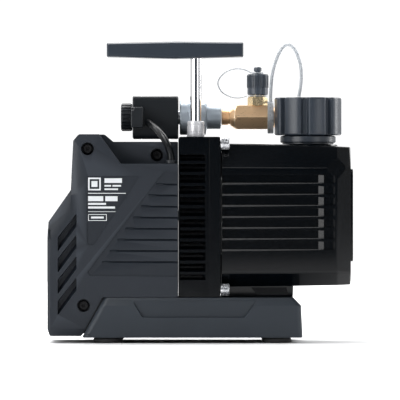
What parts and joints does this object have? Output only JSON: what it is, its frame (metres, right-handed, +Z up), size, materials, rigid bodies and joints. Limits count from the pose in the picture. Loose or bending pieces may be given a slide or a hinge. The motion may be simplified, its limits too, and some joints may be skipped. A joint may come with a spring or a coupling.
{
  "type": "vacuum pump",
  "caption": "Battery vacuum pump for air-conditioning service: motor housing with battery dock, finned pump body, ribbed oil tank, T handle and solenoid inlet line.",
  "frame": {"origin": "on the ground, below the middle of the pump's length and depth", "axes": "+X along the shaft towards the oil tank, -Y out of the side with the recessed label panel, +Z up"},
  "size_m": [0.2656, 0.116, 0.2623],
  "materials": {
    "housing_plastic": "fine spark-eroded texture, dark blue-grey",
    "black_casting": "gloss black paint on cast aluminium",
    "sheet_steel": "black painted sheet",
    "grip_plastic": "smooth satin",
    "cap_plastic": "satin moulded",
    "black_plastic": "black moulded",
    "rubber": "matte black",
    "cable_rubber": "smooth black sheath",
    "brass": "machined, satin",
    "chrome": "polished",
    "screw_steel": "zinc plated",
    "black_screw": "black oxide",
    "machined_steel": "turned and ground",
    "copper_winding": "enamelled winding",
    "zinc": "grey die casting",
    "tether_plastic": "translucent white",
    "sight_glass": "clear",
    "filter_felt": "felt"
  },
  "bodies": {
    "root": {"base": "housing_plastic", "housing_front": "housing_plastic", "housing_rear": "housing_plastic", "pump_body": "black_casting", "oil_tank": "black_casting", "sight_panel": "black_casting", "base_cover": "sheet_steel", "handle_grip": "grip_plastic", "filler_neck": "cap_plastic", "battery_dock": "black_plastic", "battery_terminals": "black_plastic", "switch_frame": "black_plastic", "solenoid_coil": "black_plastic", "coil_nut": "black_plastic", "coil_connector": "black_plastic", "cable_gland": "black_plastic", "foot_front_left": "rubber", "foot_front_right": "rubber", "foot_rear_left": "rubber", "foot_rear_right": "rubber", "tank_gasket": "rubber", "solenoid_cable": "cable_rubber", "inlet_manifold": "brass", "flare_fitting": "brass", "handle_rod": "chrome", "handle_collar": "chrome", "tank_screw_front_bottom": "screw_steel", "tank_screw_front_top": "screw_steel", "tank_screw_rear_bottom": "screw_steel", "tank_screw_rear_top": "screw_steel", "inlet_nipple": "screw_steel", "shell_screw_ledge": "black_screw", "shell_screw_low": "black_screw", "shell_screw_top": "black_screw", "shaft_bearing": "machined_steel", "pump_cylinder": "machined_steel", "pump_end_plate": "machined_steel", "plunger_spring": "machined_steel", "motor_stator": "copper_winding", "valve_body": "zinc", "exhaust_tether_ring": "tether_plastic", "flare_tether_ring": "tether_plastic", "sight_glass": "sight_glass", "mist_filter": "filter_felt"},
    "spindle": {"motor_rotor": "machined_steel", "drive_shaft": "machined_steel", "cooling_fan": "black_plastic", "pump_rotor": "machined_steel", "vane_upper": "black_plastic", "vane_lower": "black_plastic"},
    "exhaust_cap_lift": {"exhaust_tether_eye": "tether_plastic", "exhaust_tether": "tether_plastic"},
    "exhaust_cap_turn": {"exhaust_cap": "cap_plastic"},
    "flare_cap_lift": {"flare_tether_eye": "tether_plastic", "flare_tether": "tether_plastic"},
    "flare_cap_turn": {"flare_cap": "black_plastic"},
    "drain_lift": {"drain_seal": "rubber"},
    "drain_turn": {"drain_plug": "screw_steel"},
    "plunger": {"valve_plunger": "machined_steel"},
    "rocker": {"switch_rocker": "black_plastic"}
  },
  "joints": [
    {"name": "shaft_spin", "type": "hinge", "parent": "root", "child": "spindle", "pos_m": [0, 0, 0.11], "axis": [1, 0, 0], "continuous": true},
    {"name": "exhaust_cap_rise", "type": "slide", "parent": "root", "child": "exhaust_cap_lift", "axis": [0, 0, 1], "range_m": [0, 0.008]},
    {"name": "exhaust_cap_unscrew", "type": "hinge", "parent": "exhaust_cap_lift", "child": "exhaust_cap_turn", "pos_m": [0.094, 0, 0.19], "axis": [0, 0, 1], "range_deg": [0, 721]},
    {"name": "flare_cap_rise", "type": "slide", "parent": "root", "child": "flare_cap_lift", "axis": [0, 0, 1], "range_m": [0, 0.00762]},
    {"name": "flare_cap_unscrew", "type": "hinge", "parent": "flare_cap_lift", "child": "flare_cap_turn", "pos_m": [0.0502, 0.024, 0.22], "axis": [0, 0, 1], "range_deg": [0, 2161]},
    {"name": "drain_plug_out", "type": "slide", "parent": "root", "child": "drain_lift", "axis": [1, 0, 0], "range_m": [0, 0.0075]},
    {"name": "drain_plug_unscrew", "type": "hinge", "parent": "drain_lift", "child": "drain_turn", "pos_m": [0.128, 0, 0.0605], "axis": [1, 0, 0], "range_deg": [0, 1801]},
    {"name": "plunger_stroke", "type": "slide", "parent": "root", "child": "plunger", "axis": [-1, 0, 0], "range_m": [0, 0.002], "stiffness_N_per_m": 400},
    {"name": "switch_rock", "type": "hinge", "parent": "root", "child": "rocker", "pos_m": [-0.062, 0.052, 0.108], "axis": [1, 0, 0], "range_deg": [0, 12]}
  ],
  "couplings": [
    {"joint": "exhaust_cap_unscrew", "follows": "exhaust_cap_rise", "rad_per_m": 1570.8},
    {"joint": "flare_cap_unscrew", "follows": "flare_cap_rise", "rad_per_m": 4947.4},
    {"joint": "drain_plug_unscrew", "follows": "drain_plug_out", "rad_per_m": 4188.8}
  ]
}
